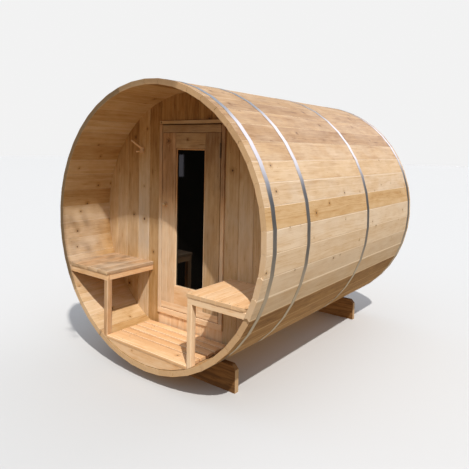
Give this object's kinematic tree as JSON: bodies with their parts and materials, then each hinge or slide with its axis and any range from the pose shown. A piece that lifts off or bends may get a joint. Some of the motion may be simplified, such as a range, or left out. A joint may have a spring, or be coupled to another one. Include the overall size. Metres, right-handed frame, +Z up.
{
  "type": "barrel sauna",
  "caption": "Coopered wooden barrel sauna with an open porch, two side benches, a hinged glazed door, steel hoops and cradles that hold the barrel level.",
  "frame": {"origin": "on the ground, under the middle of the barrel", "axes": "+X to the right seen from the porch, +Y from the porch to the back, +Z up"},
  "size_m": [1.9608, 2.39, 2.0366],
  "materials": {
    "stave": "planed, oiled cedar staves, satin",
    "wall_board": "planed, oiled cedar boards, satin",
    "door_wood": "planed, oiled cedar, satin",
    "floor_board": "planed cedar, satin",
    "bench_board": "planed cedar, satin",
    "cradle_wood": "rough sawn cedar, matt",
    "turned_wood": "turned light wood, satin",
    "hoop_steel": "brushed, dull",
    "hinge_steel": "dark, satin",
    "tinted_glass": "dark tinted, polished"
  },
  "bodies": {
    "barrel": {"staves_right_upper": "stave", "staves_roof_right": "stave", "staves_roof_left": "stave", "staves_left_upper": "stave", "staves_left_lower": "stave", "staves_bottom_left": "stave", "staves_bottom_right": "stave", "staves_right_lower": "stave", "porch_hoop": "hoop_steel", "wall_hoop": "hoop_steel", "cabin_hoop": "hoop_steel", "back_hoop": "hoop_steel", "hoop_bolts": "hoop_steel", "porch_wall_left": "wall_board", "porch_wall_right": "wall_board", "porch_wall_over_door": "wall_board", "porch_wall_under_door": "wall_board", "back_wall": "wall_board", "door_jambs": "door_wood", "door_head": "door_wood", "door_sill": "door_wood", "door_stops": "door_wood", "coat_hook": "turned_wood", "hinge_frame_leaves": "hinge_steel", "hinge_pins": "hinge_steel", "porch_floor": "floor_board", "porch_fascia": "floor_board", "floor_bearers": "floor_board", "cabin_floor": "floor_board", "left_seat": "bench_board", "right_seat": "bench_board", "bench_aprons": "bench_board", "bench_ledgers": "bench_board", "bench_posts": "bench_board", "front_cradle": "cradle_wood", "rear_cradle": "cradle_wood"},
    "door": {"door_top_rail": "door_wood", "door_bottom_rail": "door_wood", "door_hinge_stile": "door_wood", "door_latch_stile": "door_wood", "door_upper_panel": "door_wood", "door_lower_panel": "door_wood", "door_glass": "tinted_glass", "door_glazing_beads": "door_wood", "door_knob": "turned_wood", "hinge_door_leaves": "hinge_steel"}
  },
  "joints": [
    {"name": "door_swing", "type": "hinge", "parent": "barrel", "child": "door", "pos_m": [0.2895, -0.767, 1.055], "axis": [0, 0, 1], "range_deg": [0, 95]}
  ]
}
